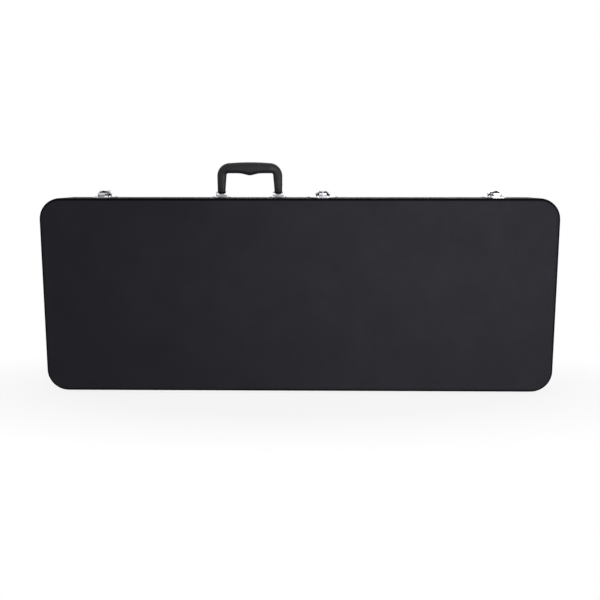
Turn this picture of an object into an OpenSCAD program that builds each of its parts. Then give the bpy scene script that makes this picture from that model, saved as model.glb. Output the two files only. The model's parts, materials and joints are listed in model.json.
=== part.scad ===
// Hard-shell electric guitar case: a covered plywood base and lid, spine hinges, three draw latches,
// a carrying handle on swinging rings, and a padded interior with a lidded pocket.
// X runs along the case, +Y to the back panel, +Z up. The case stands on its spine feet at z = 0.

/* [Case body] */
// Length of the case, outside
body_l = 1050; // [950:10:1250]
// Height of the standing case from spine to latch side, outside
body_h = 399; // [360:1:440]
// Depth of the lid half, outside
lid_d = 42; // [38:1:55]
// Depth of the base half, outside
base_d = 68; // [62:1:90]
// Radius of the outline's four corners
corner_r = 43.5; // [36:0.5:60]
// Rounding of the edge between a face and its walls
edge_r = 8; // [4:0.5:10]
// Thickness of the plywood
ply_t = 5; // [4:0.5:6]
// Thickness of the vinyl covering
skin_t = 0.8; // [0.6:0.1:1.2]
// Height of the feet under the spine
foot_h = 5; // [4.8:0.1:8]
// Distance of each foot from the middle of the case
foot_x = 350; // [250:10:380]
// Distance of each base foot from the base's face
foot_inset = 14; // [10:1:30]
// Distance of each lid foot from the seam
foot_from_seam = 13; // [9:1:20]

/* [Padding] */
// Thickness of the pad on the base panel
floor_pad_t = 8; // [5:1:10]
// Thickness of the pad on the lid panel
lid_pad_t = 12; // [8:1:14]
// Thickness of the wall lining
lining_t = 5; // [3:1:6]
// Height that the locating lip stands out of the base
lip_h = 7; // [5:1:8]
// Thickness of the locating lip
lip_t = 3; // [2:0.5:4]
// Height of the padded blocks above the floor pad
block_h = 38; // [30:1:40]

/* [Guitar] */
// Length of the space for the guitar's body
bay_l = 400; // [370:5:430]
// Width of the space for the guitar's body at its widest
bay_w = 326; // [300:2:334]
// Width of the neck channel
neck_w = 64; // [56:1:76]
// Depth of the neck channel in its support
neck_depth = 20; // [12:1:24]

/* [Pocket] */
// Length of the accessory pocket, outside
pocket_l = 190; // [140:5:220]
// Thickness of the pocket's walls
pocket_wall = 4; // [3:0.5:6]
// Thickness of the pocket's lid
pocket_lid_t = 4; // [3:0.5:5]

/* [Latches] */
// Places of the three latches along the case
latch_xs = [-402, 49, 402];
// Width of each latch's base plate
latch_plate_ws = [46, 66, 46];
// Outer width of the lever's dome
lever_w = 29; // [27:0.5:36]
// Height of the lever's dome above the case
lever_h = 16; // [15:0.5:18]
// Thickness of the pressed sheet
sheet_t = 1.2; // [1:0.1:1.6]
// Radius of the lever's pivot pins
pivot_r = 1.5; // [1.2:0.1:1.8]
// Width of the hasp's arm
hasp_w = 9; // [7:0.5:10]
// Radius of the lock's plug
plug_r = 3.6; // [3:0.1:4]

/* [Handle] */
// Place of the handle's middle along the case
handle_x = -103; // [-160:1:0]
// Outer width of the handle
handle_w = 136; // [125:1:160]
// Height of the handle's top above the case
handle_h = 72.5; // [70:0.5:85]
// Thickness of the handle's legs from front to back
leg_t = 12; // [10:0.5:13]
// Thickness of the handle's grip from front to back
grip_t = 24; // [20:0.5:28]
// Radius of the ring wire
wire_r = 1.5; // [1.3:0.1:1.7]
// Distance between the ring's two bars
ring_h = 7.6; // [7.4:0.1:9]

/* [Hinges] */
// Places of the four hinges along the case
hinge_xs = [-430, -150, 150, 430];
// Length of a hinge along the case
hinge_l = 44; // [36:1:60]
// Radius of the hinge's knuckles
knuckle_r = 2.3; // [2.1:0.1:2.35]
// Radius of the hinge's pin
hinge_pin_r = 1.1; // [0.9:0.1:1.2]

/* [Hidden] */
$fn = 48;

// Clearances
glue = 0.1; // between pieces that are glued or riveted together
run = 0.06; // radial, around a turning pin
gap = 0.4; // between pieces that pass each other
swing = 1; // between the lip and the lid that swings off it
eps = 0.01;

// Planes and centres
body_d = lid_d + base_d;
seam_y = -body_d / 2 + lid_d;
spine_z = foot_h;
top_z = foot_h + body_h;
mid_z = foot_h + body_h / 2;
ply_inset = skin_t + glue; // plywood's outer face below the covering's
inner_inset = ply_inset + ply_t; // plywood's inner face
lining_inset = inner_inset + glue + lining_t; // lining's inner face
floor_h = base_d - inner_inset; // depth from the seam to the base panel's inner face
pad_h = floor_h - glue - floor_pad_t; // depth to the floor pad's top
block_top = pad_h - glue - block_h; // depth to the padded blocks' tops
hinge_z = spine_z - knuckle_r;
catch_rivet_y = 21; // catches' rivets in front of the seam
handle_y = 33; // rings' axis behind the seam
foot_w = 16.8; // width of the handle's leg at its foot
leg_mid_x = handle_w / 2 - foot_w / 2;

// ---------- frames ----------
// Local x along the case, y up from mid height, z away from the seam into the lid
module lid_frame() {
    translate([0, seam_y, mid_z]) rotate([90, 0, 0]) children();
}
// The same, with z away from the seam into the base
module base_frame() {
    translate([0, seam_y, mid_z]) mirror([0, 1, 0]) rotate([90, 0, 0]) children();
}
// On the latch side: x along the case, y from the seam towards the back, z out of the case
module on_top(x, y = 0) {
    translate([x, seam_y + y, top_z]) children();
}
// On the spine: the same, with z out of the case, downwards
module on_spine(x, y = 0) {
    translate([x, seam_y + y, spine_z]) mirror([0, 0, 1]) children();
}
// A flat outline in (y, z), drawn across the case to the given total width
module across(w) {
    rotate([90, 0, 90]) linear_extrude(w, center = true) children();
}

// ---------- shells ----------
// Sweeps a wall profile, drawn in (distance from a corner's centre, depth), around the outline
module sweep_outline() {
    straight_l = body_l - 2 * corner_r;
    straight_h = body_h - 2 * corner_r;
    for (side = [0, 1]) mirror([side, 0, 0]) {
        for (end = [0, 1]) mirror([0, end, 0])
            translate([straight_l / 2, straight_h / 2]) rotate_extrude(angle = 90) children();
        translate([straight_l / 2, straight_h / 2]) rotate([90, 0, 0]) linear_extrude(straight_h) children();
    }
    for (end = [0, 1]) mirror([0, end, 0])
        translate([-straight_l / 2, straight_h / 2]) rotate([90, 0, 90]) linear_extrude(straight_l) children();
}
// Fills the flat middle of a panel between the swept walls
module panel_middle(from, to) {
    translate([-body_l / 2 + corner_r, -body_h / 2 + corner_r, from])
        cube([body_l - 2 * corner_r, body_h - 2 * corner_r, to - from]);
}
// Profile of a block that is inset from the outline, with its outer edge rounded
module block_profile(inset, depth, edge) {
    r = corner_r - inset;
    square([r - edge, depth]);
    square([r, depth - edge]);
    translate([r - edge, depth - edge]) circle(edge);
}
module rect_profile(inset_in, inset_out, from, to) {
    translate([corner_r - inset_in, from]) square([inset_in - inset_out, to - from]);
}
// Plywood half: walls and panel
module ply_half(depth) {
    rim = gap / 2 + skin_t + glue;
    sweep_outline() difference() {
        block_profile(ply_inset, depth - ply_inset, edge_r - ply_inset);
        square([corner_r - inner_inset, depth - inner_inset]);
        square([corner_r, rim]);
    }
    panel_middle(depth - inner_inset, depth - ply_inset);
}
// Vinyl covering: over the panel, the walls and the rim
module covering_half(depth) {
    rim = gap / 2;
    sweep_outline() difference() {
        block_profile(0, depth, edge_r);
        difference() {
            block_profile(skin_t, depth - skin_t, edge_r - skin_t);
            square([corner_r, rim + skin_t]);
        }
        square([corner_r, rim]);
        square([corner_r - inner_inset, rim + skin_t + eps]);
    }
    panel_middle(depth - skin_t, depth);
}
module floor_slab(depth_from, depth_to, inset) {
    sweep_outline() rect_profile(corner_r, inset, depth_from, depth_to);
    panel_middle(depth_from, depth_to);
}

// ---------- rivets ----------
rivet_r = 1.6;
rivet_head_r = 3;
rivet_head_h = 1.1;
rivet_depth = skin_t + glue + ply_t - 1; // a short rivet stops inside the plywood
function latch_rivets(i) = [for (s = [-1, 1]) [latch_xs[i] + s * (latch_plate_ws[i] / 2 - 4), 28]];
function catch_rivets(i) = [for (s = [-1, 1]) [latch_xs[i] + s * 9, -catch_rivet_y]];
hinge_rivet_xs = [-1, 0, 1] * (hinge_l / 2 - 6);
leaf_rivet_y = 12;
saddle_rivet_x = 15.5;
latch_base_rivets = [for (i = [0:2]) each latch_rivets(i)];
latch_lid_rivets = [for (i = [0:2]) each catch_rivets(i)];
function leaf_rivets(side) = [for (h = hinge_xs, dx = hinge_rivet_xs) [h + dx, side * leaf_rivet_y]];
saddle_xs = [handle_x - leg_mid_x, handle_x + leg_mid_x];
handle_rivet_places = [for (s = saddle_xs, d = [-1, 1]) [s + d * saddle_rivet_x, handle_y]];

// One rivet standing on metal of the given thickness, with z = 0 at the covering
module rivet(metal, depth) {
    translate([0, 0, -depth]) cylinder(r = rivet_r, h = depth + metal + eps);
    translate([0, 0, metal]) intersection() {
        cylinder(r = rivet_head_r, h = rivet_head_h);
        translate([0, 0, rivet_head_h - 2 * rivet_head_r]) sphere(2 * rivet_head_r);
    }
}
module rivet_hole(depth) {
    translate([0, 0, -depth - glue]) cylinder(r = rivet_r + run, h = depth + 10);
}
module base_holes() {
    for (p = latch_base_rivets) on_top(p[0], p[1]) rivet_hole(rivet_depth);
    for (p = handle_rivet_places) on_top(p[0], p[1]) rivet_hole(inner_inset + 5);
    for (p = leaf_rivets(1)) on_spine(p[0], p[1]) rivet_hole(rivet_depth);
}
module lid_holes() {
    for (p = latch_lid_rivets) on_top(p[0], p[1]) rivet_hole(rivet_depth);
    for (p = leaf_rivets(-1)) on_spine(p[0], p[1]) rivet_hole(rivet_depth);
}

// ---------- base ----------
module base_shell() {
    color("burlywood") difference() {
        base_frame() ply_half(base_d);
        base_holes();
    }
}
module base_covering() {
    color([0.13, 0.13, 0.14]) difference() {
        base_frame() covering_half(base_d);
        base_holes();
    }
}
// Lip that stands out of the base and guides the lid into place
lip_foot = 22;
module base_lip() {
    outer = inner_inset + glue;
    color([0.1, 0.1, 0.11]) base_frame() sweep_outline() {
        rect_profile(outer + lip_t + swing, outer, 0, lip_foot);
        rect_profile(outer + lip_t + swing, inner_inset + swing, -lip_h, eps);
    }
}
module base_wall_lining() {
    color([0.12, 0.12, 0.13]) difference() {
        base_frame() sweep_outline() rect_profile(lining_inset, inner_inset + glue, lip_foot + glue, pad_h);
        for (x = saddle_xs) on_top(x, handle_y) backing_space();
    }
}
module base_floor_pad() {
    color([0.12, 0.12, 0.13]) base_frame() floor_slab(pad_h + glue, floor_h - glue, inner_inset + glue);
}

// Plan of the guitar body's space, from its butt at x = 0 to the neck at x = bay_l
bay_steps = 40;
function bay_end(s) = pow(1 - pow(abs(2 * s - 1), 3.4), 1 / 2.3);
function bay_waist(s) = 1 - 0.17 * exp(-pow((s - 0.6) / 0.15, 2)) - 0.08 * s;
function bay_half(s) = bay_w / 2 * bay_end(s) * bay_waist(s) / 0.985;
module bay_outline() {
    points = [for (i = [0:bay_steps]) let (s = i / bay_steps) [s * bay_l, bay_half(s)]];
    mirrored = [for (i = [bay_steps - 1:-1:1]) let (s = i / bay_steps) [s * bay_l, -bay_half(s)]];
    polygon(concat(points, mirrored));
}
// Padded block around the body space, upper (side = 1) or lower (side = -1) half
bay_butt_wall = 18;
cradle_l = bay_l + 34;
cradle_x = -body_l / 2 + lining_inset + gap;
module cradle_half(side) {
    half_h = body_h / 2 - lining_inset - gap;
    inner_r = corner_r - lining_inset;
    base_frame() translate([cradle_x, 0, block_top]) linear_extrude(block_h) difference() {
        intersection() {
            union() {
                translate([inner_r, -half_h]) square([cradle_l - inner_r, 2 * half_h]);
                translate([0, -half_h + inner_r]) square([2 * inner_r, 2 * (half_h - inner_r)]);
                for (s = [-1, 1]) translate([inner_r, s * (half_h - inner_r)]) circle(inner_r);
            }
            translate([-eps, side > 0 ? gap / 4 : -half_h - eps]) square([cradle_l + 1, half_h - gap / 4 + eps]);
        }
        translate([bay_butt_wall, 0]) bay_outline();
        translate([bay_l / 2, -neck_w / 2]) square([cradle_l, neck_w]);
    }
}
module cradle_upper() { color([0.14, 0.14, 0.15]) cradle_half(1); }
module cradle_lower() { color([0.14, 0.14, 0.15]) cradle_half(-1); }

// Block across the case with a channel that carries the neck
neck_support_x = 70;
neck_support_l = 70;
module neck_support() {
    half_h = body_h / 2 - lining_inset - gap;
    color([0.14, 0.14, 0.15]) base_frame() difference() {
        translate([neck_support_x, -half_h, block_top]) cube([neck_support_l, 2 * half_h, block_h]);
        translate([neck_support_x - 1, -neck_w / 2, block_top - 1]) cube([neck_support_l + 2, neck_w, neck_depth + 1]);
    }
}

// Accessory pocket between the neck and the spine
pocket_x = neck_support_x + neck_support_l + gap;
pocket_h = body_h / 2 - lining_inset - gap - neck_w / 2 - 12;
pocket_z = spine_z + lining_inset + gap;
pocket_depth = pad_h - glue; // depth of the pocket's foot below the seam
pocket_rim = block_top + pocket_lid_t + gap;
module pocket_box() {
    color([0.14, 0.14, 0.15]) translate([pocket_x, seam_y + pocket_rim, pocket_z]) difference() {
        cube([pocket_l, pocket_depth - pocket_rim, pocket_h]);
        translate([pocket_wall, -1, pocket_wall])
            cube([pocket_l - 2 * pocket_wall, pocket_depth, pocket_h - 2 * pocket_wall]);
    }
}
// The pocket's lid turns about the middle of its rounded lower edge
module pocket_lid() {
    r = pocket_lid_t / 2;
    color([0.14, 0.14, 0.15]) translate([pocket_x, seam_y + block_top, pocket_z]) {
        translate([0, 0, r]) cube([pocket_l, pocket_lid_t, pocket_h - r]);
        translate([0, r, r]) rotate([0, 90, 0]) cylinder(r = r, h = pocket_l);
    }
}
tab_w = 22;
tab_l = 26;
tab_t = 1.2;
module pocket_lid_tab() {
    color([0.2, 0.2, 0.21])
        translate([pocket_x + pocket_l / 2 - tab_w / 2, seam_y + block_top - glue - tab_t, pocket_z + pocket_h - tab_l / 2])
            cube([tab_w, tab_t, tab_l]);
}

// ---------- lid ----------
module lid_shell() {
    color("burlywood") difference() {
        lid_frame() ply_half(lid_d);
        lid_holes();
    }
}
module lid_covering() {
    color([0.13, 0.13, 0.14]) difference() {
        lid_frame() covering_half(lid_d);
        lid_holes();
    }
}
lid_floor_h = lid_d - inner_inset;
lid_pad_top = lid_floor_h - glue - lid_pad_t;
module lid_pad() {
    color([0.12, 0.12, 0.13]) lid_frame() floor_slab(lid_pad_top, lid_floor_h - glue, inner_inset + glue);
}
module lid_wall_lining() {
    lid_lining_t = 2.5;
    color([0.12, 0.12, 0.13]) lid_frame()
        sweep_outline() rect_profile(inner_inset + glue + lid_lining_t, inner_inset + glue,
            lip_h + 1.5, lid_pad_top - glue);
}

// ---------- feet ----------
foot_r = 6;
module foot() {
    difference() {
        cylinder(r1 = foot_r, r2 = foot_r - 1, h = foot_h);
        translate([0, 0, foot_h - 2.5]) cylinder(r = 2.4, h = 3);
    }
}
module spine_feet_base() {
    color([0.08, 0.08, 0.08]) for (s = [-1, 1]) on_spine(s * foot_x, base_d - foot_inset) foot();
}
module spine_feet_lid() {
    color([0.08, 0.08, 0.08]) for (s = [-1, 1]) on_spine(s * foot_x, -foot_from_seam) foot();
}

// ---------- hinges ----------
leaf_t = sheet_t;
leaf_reach = 22;
knuckle_n = 3;
knuckle_l = hinge_l / knuckle_n;
// One leaf: side = 1 for the base, with the outer knuckles, and -1 for the lid, with the middle one
module hinge_leaf(side) {
    own = side > 0 ? [0, 2] : [1];
    seat = knuckle_r + gap;
    difference() {
        union() {
            translate([-hinge_l / 2, side > 0 ? seat : -leaf_reach, 0]) cube([hinge_l, leaf_reach - seat, leaf_t]);
            for (k = own) {
                x = -hinge_l / 2 + k * knuckle_l + gap / 2;
                translate([x, 0, knuckle_r]) rotate([0, 90, 0]) cylinder(r = knuckle_r, h = knuckle_l - gap);
                translate([x, side > 0 ? 0 : -seat - eps, 0]) cube([knuckle_l - gap, seat + eps, leaf_t]);
            }
        }
        translate([-hinge_l, 0, knuckle_r]) rotate([0, 90, 0]) cylinder(r = hinge_pin_r + run, h = 2 * hinge_l);
        for (dx = hinge_rivet_xs) translate([dx, side * leaf_rivet_y, -1]) cylinder(r = rivet_r + run, h = leaf_t + 2);
    }
}
module base_leaf(i) { color("silver") on_spine(hinge_xs[i]) hinge_leaf(1); }
module lid_leaf(i) { color("silver") on_spine(hinge_xs[i]) hinge_leaf(-1); }
module hinge_pins() {
    color("gainsboro") for (x = hinge_xs) translate([x, seam_y, hinge_z]) rotate([0, 90, 0])
        cylinder(r = hinge_pin_r, h = hinge_l, center = true);
}
module hinge_rivets(side) {
    color("gainsboro") for (p = leaf_rivets(side)) on_spine(p[0], p[1]) rivet(leaf_t, rivet_depth);
}

// ---------- latches ----------
pivot_y = 13; // lever's pivot behind the seam
pivot_z = 8.5; // and above the case
ear_t = 1.4;
cheek_t = 1.4;
ear_out = hasp_w / 2 + 1.5 + ear_t; // ears stand beside the hasp, under the lever's dome
ear_r = 3.4;
hub_r = pivot_z - sheet_t - 1; // the lever's front turns about the pivot clear of the plate
link_y = pivot_y + 9; // hasp's pin
link_z = pivot_z - 2;
link_r = 1.2;
hook_y = -14; // middle of the hook
hook_z = 5.9; // underside of the hook
tab_w2 = hasp_w; // catch's tab is as wide as the hasp
lever_end = 44;
slot_end = link_y + 9.5;

module latch_plate(w) {
    color("silver") difference() {
        union() {
            translate([-w / 2 + 4, 4]) linear_extrude(sheet_t) plate_outline(w - 8, 36);
            for (s = [-1, 1]) translate([s * (ear_out - ear_t / 2), 0, 0]) across(ear_t) {
                translate([pivot_y - ear_r, 0]) square([2 * ear_r, pivot_z]);
                translate([pivot_y, pivot_z]) circle(ear_r);
            }
        }
        translate([0, pivot_y, pivot_z]) rotate([0, 90, 0]) cylinder(r = pivot_r + run, h = 2 * lever_w, center = true);
        for (s = [-1, 1]) translate([s * (w / 2 - 4), 28, -1]) cylinder(r = rivet_r + run, h = sheet_t + 2);
    }
}
// Plate that narrows to the front, with round lobes at the rivets
module plate_outline(w, l) {
    polygon([[0, l - 6], [w, l - 6], [w, 18], [w / 2 + 12, 0], [w / 2 - 12, 0], [0, 18]]);
    translate([4, l - 6.5]) square([w - 8, 6.5]);
    for (x = [0, w]) translate([x, 24]) circle(4);
    for (x = [4, w - 4]) translate([x, l - 5]) circle(5);
}
// Side view of the lever in (y, z): rounded about the pivot at its lower front
module lever_side(inset) {
    r = hub_r - inset;
    round_front = [for (a = [180:15:270]) [pivot_y + r * cos(a), pivot_z + r * sin(a)]];
    back = [
        [lever_end - inset, 3 + inset], [lever_end - inset, 5.8 - inset / 2], [pivot_y + 25, lever_h - 8.6 - inset],
        [pivot_y + 21, lever_h - 4.2 - inset], [pivot_y + 15, lever_h - 0.9 - inset],
        [pivot_y + 8, lever_h - inset], [pivot_y, lever_h - 0.8 - inset], [pivot_y - r + 0.6, lever_h - 2.2 - inset]];
    polygon(concat(round_front, back));
}
// Front view of the lever in (x, z), with wide round shoulders
module lever_front(inset) {
    w = lever_w / 2 - inset;
    r = 11.5 - inset;
    top = lever_h - inset;
    translate([-w, -1]) square([2 * w, top - r + 1]);
    translate([-w + r, 0]) square([2 * (w - r), top]);
    for (s = [-1, 1]) translate([s * (w - r), top - r]) circle(r);
}
module lever_block(inset) {
    intersection() {
        across(2 * lever_w) lever_side(inset);
        translate([0, 60, 0]) rotate([90, 0, 0]) linear_extrude(120) lever_front(inset);
    }
}
module latch_lever(locking) {
    arch = 2.6; // width of the arch left around the open front
    color("silver") difference() {
        lever_block(0);
        lever_block(cheek_t);
        translate([-lever_w / 2 + cheek_t, pivot_y - 1, -1]) cube([lever_w - 2 * cheek_t, lever_end - pivot_y - 2, pivot_z - 2]);
        translate([0, pivot_y, 0]) rotate([90, 0, 0]) linear_extrude(2 * hub_r) lever_front(arch);
        translate([-hasp_w / 2 - 0.8, 0, -1]) cube([hasp_w + 1.6, slot_end, lever_h + 2]);
        translate([0, pivot_y, pivot_z]) rotate([0, 90, 0]) cylinder(r = pivot_r + run, h = 2 * lever_w, center = true);
        translate([0, link_y, link_z]) rotate([0, 90, 0]) cylinder(r = link_r + run, h = 2 * lever_w, center = true);
        if (locking) translate([0, lock_y, -1]) cylinder(r = barrel_r + glue, h = lever_h + 2);
    }
}
// Side view of the hasp: a ring on the pin, an arm over the seam and a hook
module latch_hasp() {
    eye_r = 3.1;
    arm_t = 2;
    color("silver") difference() {
        union() {
            across(hasp_w) {
                translate([link_y, link_z]) circle(eye_r);
                translate([hook_y + 2, hook_z]) square([link_y - hook_y - 2, arm_t]);
            }
            across(hasp_w + 5) {
                translate([hook_y - 2.5, hook_z]) square([5, 2.6]);
                translate([hook_y - 2.5 + 1.3, hook_z + 2.6]) circle(1.3);
                translate([hook_y - 1.2, hook_z + 2]) square([3.7, 1.9]);
            }
        }
        translate([0, link_y, link_z]) rotate([0, 90, 0]) cylinder(r = link_r + run, h = 2 * lever_w, center = true);
    }
}
module latch_catch() {
    color("silver") difference() {
        union() {
            translate([-11, -28]) linear_extrude(sheet_t) {
                square([22, 25]);
                for (x = [0, 22]) translate([x, 7]) circle(6);
            }
            translate([-tab_w2 / 2, hook_y - 1, 0]) cube([tab_w2, 2, hook_z - 0.3]);
            for (s = [-1, 1]) translate([s * 14, 0, 0]) across(sheet_t) {
                translate([-12, 0]) square([9, 3.2]);
                translate([-12, 1.6]) circle(1.6);
            }
            for (s = [-1, 1]) translate([s * 12.5 - 2, -12, 0]) cube([4, 9, sheet_t]);
        }
        for (s = [-1, 1]) translate([s * 9, -catch_rivet_y, -1]) cylinder(r = rivet_r + run, h = sheet_t + 2);
    }
}
module hasp_pin() {
    color("gainsboro") translate([0, link_y, link_z]) rotate([0, 90, 0])
        cylinder(r = link_r, h = lever_w - 0.4, center = true);
}
module latch_pivot_pins() {
    inner = ear_out - ear_t - 0.5;
    color("gainsboro") for (x = latch_xs, s = [0, 1]) on_top(x) mirror([s, 0, 0])
        translate([inner, pivot_y, pivot_z]) rotate([0, 90, 0]) cylinder(r = pivot_r, h = lever_w / 2 - inner + 0.6);
}
module latch_rivets_base() {
    color("gainsboro") for (p = latch_base_rivets) on_top(p[0], p[1]) rivet(sheet_t, rivet_depth);
}
module latch_rivets_lid() {
    color("gainsboro") for (p = latch_lid_rivets) on_top(p[0], p[1]) rivet(sheet_t, rivet_depth);
}
// Lock in the middle latch's lever
barrel_r = plug_r + 1.6;
lock_y = slot_end + barrel_r + 1.2;
lock_foot = 2.6;
lock_top = 13.4;
module lock_barrel() {
    color("silver") on_top(latch_xs[1], lock_y) difference() {
        translate([0, 0, lock_foot]) cylinder(r = barrel_r, h = lock_top - lock_foot);
        translate([0, 0, lock_foot + 1]) cylinder(r = plug_r + run, h = lock_top);
    }
}
module lock_plug() {
    color("gainsboro") on_top(latch_xs[1], lock_y) difference() {
        translate([0, 0, lock_foot + 1.3]) cylinder(r = plug_r, h = lock_top - lock_foot - 1.5);
        translate([-0.6, -2.6, lock_top - 5]) cube([1.2, 5.2, 10]);
    }
}

// ---------- handle ----------
eye_z = 3.1; // rings' axis above the case
bar_z = eye_z + ring_h; // axis of the bars through the handle's feet
foot_end_z = 6.4; // lowest point of the handle's feet
grip_low = handle_h - 23; // underside of the grip beside the middle bump
ring_half_w = foot_w / 2 + 1.9;
// Underside of the grip: flat for the fingers on both sides of a bump in the middle
function grip_under(x) = grip_low - 4.2 * exp(-pow(x / 15.2, 2));
module handle_outline() {
    half = handle_w / 2;
    top_r = 27;
    leg_top_in = half - 19.3;
    under_half = leg_top_in - 3.2;
    crown = 1.6;
    side_steps = 20;
    difference() {
        union() {
            translate([-half, foot_end_z + foot_w / 2]) square([handle_w, handle_h - crown - top_r - foot_end_z - foot_w / 2]);
            translate([-half + top_r, grip_low - 10]) square([handle_w - 2 * top_r, handle_h - crown - grip_low + 10]);
            for (s = [-1, 1]) translate([s * (half - top_r), handle_h - crown - top_r]) circle(top_r);
            polygon([for (i = [-side_steps:side_steps]) let (x = i / side_steps * (half - top_r))
                [x, handle_h - crown * (i * i / side_steps / side_steps)]]);
            for (s = [-1, 1]) translate([s * leg_mid_x, foot_end_z + foot_w / 2]) circle(foot_w / 2);
        }
        polygon(concat(
            [[-half + foot_w, -1], [-half + foot_w, foot_end_z + 8], [-leg_top_in, grip_low - 4], [-leg_top_in + 0.9, grip_low - 1.3]],
            [for (i = [-side_steps:side_steps]) let (x = i / side_steps * under_half) [x, grip_under(x)]],
            [[leg_top_in - 0.9, grip_low - 1.3], [leg_top_in, grip_low - 4], [half - foot_w, foot_end_z + 8], [half - foot_w, -1]]));
    }
}
// Round bar that gives the grip its section
module grip_bar() {
    r = 9;
    h = 32;
    translate([0, 0, handle_h - h / 2 + 1]) across(handle_w - 44) {
        square([grip_t - 2 * r, h], center = true);
        square([grip_t, h - 2 * r], center = true);
        for (sy = [-1, 1], sz = [-1, 1]) translate([sy * (grip_t / 2 - r), sz * (h / 2 - r)]) circle(r);
    }
}
// Side view of a leg in (y, z): rounded about the ring's upper bar
module leg_side() {
    r = bar_z - foot_end_z;
    round_end = [for (a = [180:15:360]) [r * cos(a), bar_z + r * sin(a)]];
    polygon(concat(round_end, [[leg_t / 2, bar_z + 7], [leg_t / 2, handle_h + 1],
        [-leg_t / 2, handle_h + 1], [-leg_t / 2, bar_z + 7]]));
}
// Steel strip inside the handle, from foot to foot
core_t = 2;
core_w = 8;
module core_outline(extra) {
    half = handle_w / 2 - foot_w / 2;
    z0 = bar_z + 5;
    z1 = handle_h - 12;
    for (s = [-1, 1]) translate([s * half - core_t / 2 - extra, z0]) square([core_t + 2 * extra, z1 - z0]);
    translate([-half - core_t / 2 - extra, z1 - core_t / 2 - extra]) square([2 * half + core_t + 2 * extra, core_t + 2 * extra]);
}
module handle_place() {
    on_top(handle_x, handle_y) children();
}
module handle_grip() {
    color([0.1, 0.1, 0.1]) handle_place() difference() {
        union() {
            intersection() {
                rotate([90, 0, 0]) linear_extrude(leg_t + 2, center = true) handle_outline();
                across(handle_w + 2) leg_side();
            }
            intersection() {
                rotate([90, 0, 0]) linear_extrude(grip_t + 2, center = true) handle_outline();
                grip_bar();
            }
        }
        rotate([90, 0, 0]) linear_extrude(core_w + 2 * glue, center = true) core_outline(glue);
        for (s = [-1, 1]) translate([s * leg_mid_x, 0, bar_z]) rotate([0, 90, 0])
            cylinder(r = wire_r + run, h = foot_w + 4, center = true);
    }
}
module handle_core() {
    color("gray") handle_place() rotate([90, 0, 0]) linear_extrude(core_w, center = true) core_outline(0);
}
// Closed wire ring: a bar in the saddle, a bar in the handle's foot, and two sides
module handle_ring(s) {
    color("gainsboro") on_top(handle_x + s * leg_mid_x, handle_y) {
        for (z = [eye_z, bar_z]) translate([0, 0, z]) rotate([0, 90, 0]) cylinder(r = wire_r, h = 2 * ring_half_w, center = true);
        for (d = [-1, 1]) translate([d * ring_half_w, 0, 0]) {
            translate([0, 0, eye_z]) cylinder(r = wire_r, h = ring_h);
            for (z = [eye_z, bar_z]) translate([0, 0, z]) sphere(wire_r);
        }
    }
}
// Pressed saddle: a riveted plate with a tube that holds the ring's lower bar
saddle_w = 40;
saddle_d = 22;
module handle_saddle(s) {
    eye_r = eye_z - gap + 0.1;
    eye_l = 2 * ring_half_w - 2 * wire_r - 3;
    color("silver") on_top(handle_x + s * leg_mid_x, handle_y) difference() {
        union() {
            translate([-saddle_w / 2 + 6, -saddle_d / 2, 0]) cube([saddle_w - 12, saddle_d, sheet_t]);
            for (d = [-1, 1]) translate([d * saddle_rivet_x, 0, 0]) cylinder(r = 4.5, h = sheet_t);
            translate([0, 0, eye_z]) rotate([0, 90, 0]) cylinder(r = eye_r, h = eye_l, center = true);
            translate([-eye_l / 2, -eye_r, 0]) cube([eye_l, 2 * eye_r, eye_z]);
        }
        translate([0, 0, eye_z]) rotate([0, 90, 0]) cylinder(r = wire_r + run, h = saddle_w, center = true);
        for (d = [-1, 1]) translate([d * saddle_rivet_x, 0, -1]) cylinder(r = rivet_r + run, h = sheet_t + 2);
    }
}
backing_t = 1.5;
module backing_space() {
    m = 1;
    translate([-saddle_w / 2 - m, -saddle_d / 2 - m, -inner_inset - backing_t - 1.8])
        cube([saddle_w + 2 * m, saddle_d + 2 * m, backing_t + 1.8 + eps]);
}
module handle_backing_plates() {
    color("gray") for (x = saddle_xs) on_top(x, handle_y) difference() {
        translate([-saddle_w / 2, -saddle_d / 2, -inner_inset - glue - backing_t]) cube([saddle_w, saddle_d, backing_t]);
        for (d = [-1, 1]) translate([d * saddle_rivet_x, 0, -inner_inset - 5]) cylinder(r = rivet_r + run, h = 6);
    }
}
module handle_rivets() {
    color("gainsboro") for (p = handle_rivet_places) on_top(p[0], p[1]) {
        rivet(sheet_t, inner_inset + backing_t + glue + 0.2);
        translate([0, 0, -inner_inset - backing_t - 2 * glue - 0.9]) cylinder(r = 2.6, h = 0.9);
    }
}

base_shell();
base_covering();
base_lip();
base_wall_lining();
base_floor_pad();
cradle_upper();
cradle_lower();
neck_support();
pocket_box();
pocket_lid();
pocket_lid_tab();
spine_feet_base();
spine_feet_lid();
lid_shell();
lid_covering();
lid_pad();
lid_wall_lining();
base_leaf(0);  // hinge_1_base_leaf
base_leaf(1);  // hinge_2_base_leaf
base_leaf(2);  // hinge_3_base_leaf
base_leaf(3);  // hinge_4_base_leaf
lid_leaf(0);  // hinge_1_lid_leaf
lid_leaf(1);  // hinge_2_lid_leaf
lid_leaf(2);  // hinge_3_lid_leaf
lid_leaf(3);  // hinge_4_lid_leaf
hinge_pins();
hinge_rivets(1);  // hinge_rivets_base
hinge_rivets(-1);  // hinge_rivets_lid
on_top(latch_xs[0]) latch_plate(latch_plate_ws[0]);  // latch_left_plate
on_top(latch_xs[1]) latch_plate(latch_plate_ws[1]);  // latch_middle_plate
on_top(latch_xs[2]) latch_plate(latch_plate_ws[2]);  // latch_right_plate
on_top(latch_xs[0]) latch_lever(false);  // latch_left_lever
on_top(latch_xs[1]) latch_lever(true);  // latch_middle_lever
on_top(latch_xs[2]) latch_lever(false);  // latch_right_lever
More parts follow.
